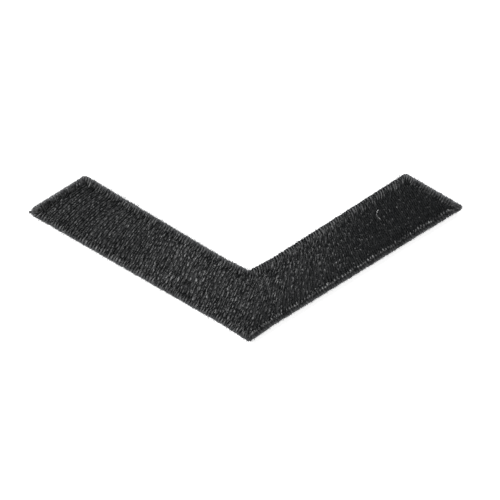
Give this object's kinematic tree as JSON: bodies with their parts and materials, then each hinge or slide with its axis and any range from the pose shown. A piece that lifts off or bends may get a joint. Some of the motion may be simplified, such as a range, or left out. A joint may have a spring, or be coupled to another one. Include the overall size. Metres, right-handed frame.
{
  "type": "rank chevron patch",
  "caption": "Small V-shaped embroidered rank bar, black thread on a stiffened black cloth with a raised satin border, lying flat.",
  "frame": {"origin": "middle of the patch's outline, on the back face of the cloth", "axes": "+X from the left arm's tip to the right arm's tip, +Y away from the point of the V, +Z out of the stitched face"},
  "size_m": [0.0584, 0.0226, 0.0016],
  "materials": {
    "stiffened_twill": "matt polyester twill, heat-cut edge",
    "border_thread": "satin-stitched black polyester thread, soft sheen",
    "fill_thread": "fill-stitched black polyester thread, soft sheen along the strands"
  },
  "bodies": {
    "root": {"base_cloth": "stiffened_twill", "satin_border": "border_thread", "stitched_field": "fill_thread"}
  },
  "joints": []
}
